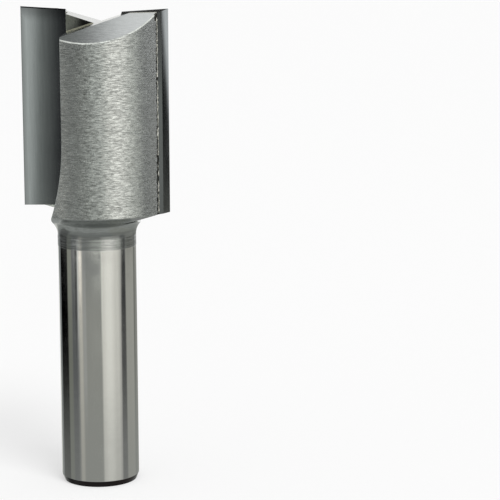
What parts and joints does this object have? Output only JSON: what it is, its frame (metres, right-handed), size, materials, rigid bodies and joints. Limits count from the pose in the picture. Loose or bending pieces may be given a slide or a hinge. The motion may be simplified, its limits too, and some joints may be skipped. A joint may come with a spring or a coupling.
{
  "type": "router bit",
  "caption": "Straight router bit with carbide tips brazed in a fluted steel body on a half-inch shank, for cutting square-bottomed grooves.",
  "frame": {"origin": "centre of the shank's flat end", "axes": "+Z along the axis from the shank to the cutting end, X parallel to the rake faces, and the tip at positive X faces +Y"},
  "size_m": [0.0242, 0.0244, 0.0775],
  "materials": {
    "steel": "turned and ground, polished on the shank and satin on the body",
    "carbide": "diamond-ground tungsten carbide, smooth and dark grey",
    "solder": "silver solder, bright and slightly uneven"
  },
  "bodies": {
    "root": {"steel_body": "steel", "carbide_tip_1": "carbide", "carbide_tip_2": "carbide", "braze_joint_1": "solder", "braze_joint_2": "solder"}
  },
  "joints": []
}
